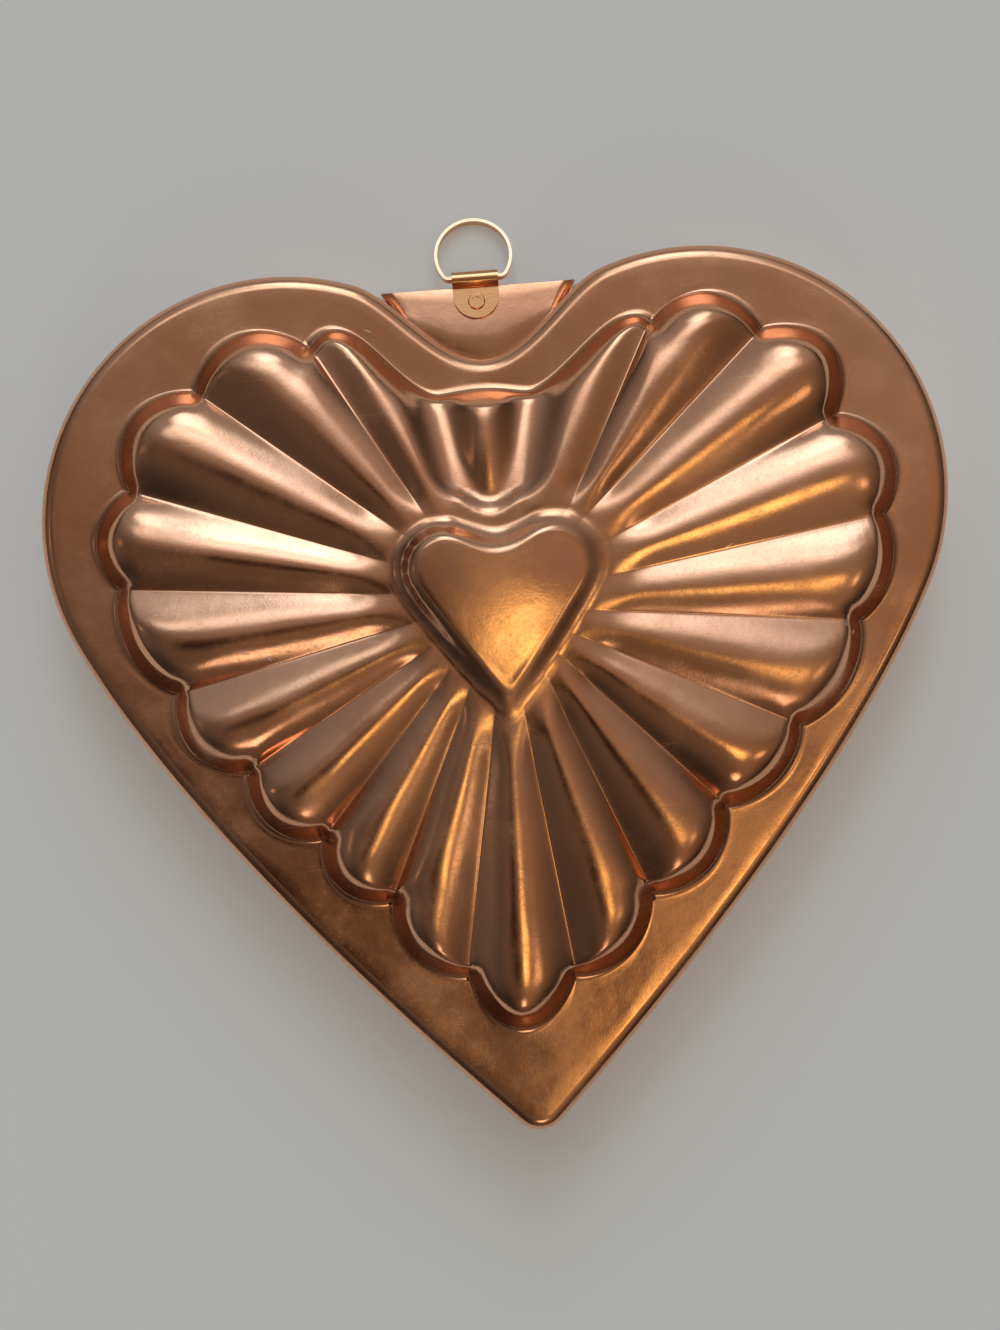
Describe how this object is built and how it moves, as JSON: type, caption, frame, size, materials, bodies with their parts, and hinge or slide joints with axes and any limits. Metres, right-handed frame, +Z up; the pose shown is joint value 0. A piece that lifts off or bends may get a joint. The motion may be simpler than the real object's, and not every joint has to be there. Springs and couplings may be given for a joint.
{
  "type": "heart cake mould",
  "caption": "Heart-shaped baking mould of thin copper sheet with a fluted crown round a raised plain heart, and a small ring to hang it by.",
  "frame": {"origin": "middle of the outer box at the level of the rim that the mould stands on", "axes": "+Z up through the crown, +Y towards the hanging ring, +X to the right with the ring at the far side"},
  "size_m": [0.24, 0.2437, 0.05],
  "materials": {
    "copper_sheet": "satin polished copper",
    "copper_strap": "bright copper",
    "copper_rivet": "bright copper",
    "copper_ring": "bright copper"
  },
  "bodies": {
    "mould": {"mould": "copper_sheet", "strap": "copper_strap", "rivet": "copper_rivet"},
    "ring": {"ring": "copper_ring"}
  },
  "joints": [
    {"name": "ring_swing", "type": "hinge", "parent": "mould", "child": "ring", "pos_m": [-0.0007, 0.10522, 0.00507], "axis": [1, 0, 0], "range_deg": [0, 170]}
  ]
}
